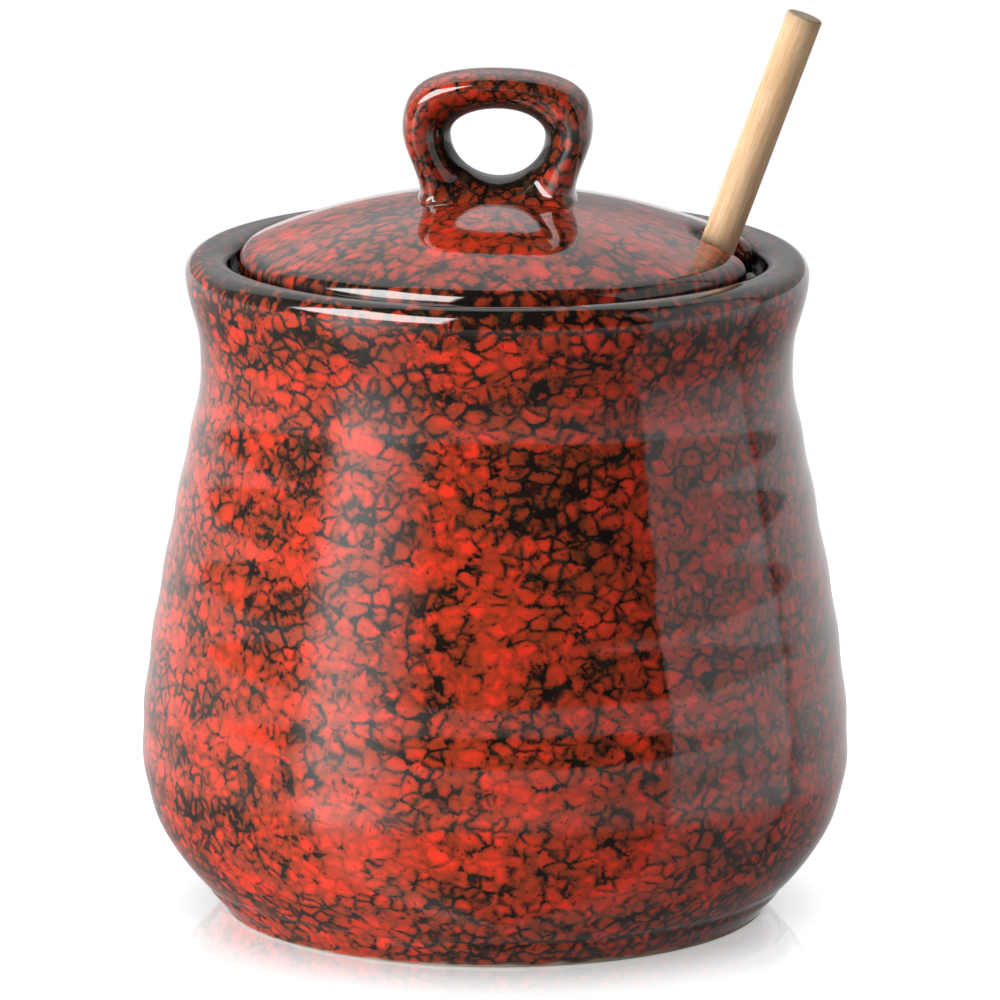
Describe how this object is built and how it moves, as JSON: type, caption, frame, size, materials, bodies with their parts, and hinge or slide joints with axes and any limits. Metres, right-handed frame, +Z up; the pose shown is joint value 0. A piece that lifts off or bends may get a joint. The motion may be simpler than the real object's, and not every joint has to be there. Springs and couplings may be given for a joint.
{
  "type": "honey pot",
  "caption": "Round-bellied glazed stoneware honey pot with a loose domed lid, loop handle, and a wooden dipper leaning out through a notch in the lid.",
  "frame": {"origin": "centre of the foot ring on the table", "axes": "+Z up along the axis of the pot, +X towards the notch and the leaning dipper, loop in the XZ plane"},
  "size_m": [0.1178, 0.1178, 0.1521],
  "materials": {
    "jar_glaze": "glossy red glaze broken by black veins",
    "lid_glaze": "glossy red glaze broken by black veins",
    "loop_glaze": "glossy red glaze, darker on the edges",
    "dipper_wood": "bare turned beech"
  },
  "bodies": {
    "jar": {"jar": "jar_glaze"},
    "lid": {"lid": "lid_glaze", "lid_loop": "loop_glaze"},
    "dipper": {"dipper_shaft": "dipper_wood", "dipper_head": "dipper_wood"}
  },
  "joints": [
    {"name": "lid_lift", "type": "slide", "parent": "jar", "child": "lid", "axis": [0, 0, 1], "range_m": [0, 0.06]},
    {"name": "dipper_lift", "type": "slide", "parent": "jar", "child": "dipper", "axis": [0.3404, 0, 0.9403], "range_m": [0, 0.055]}
  ]
}
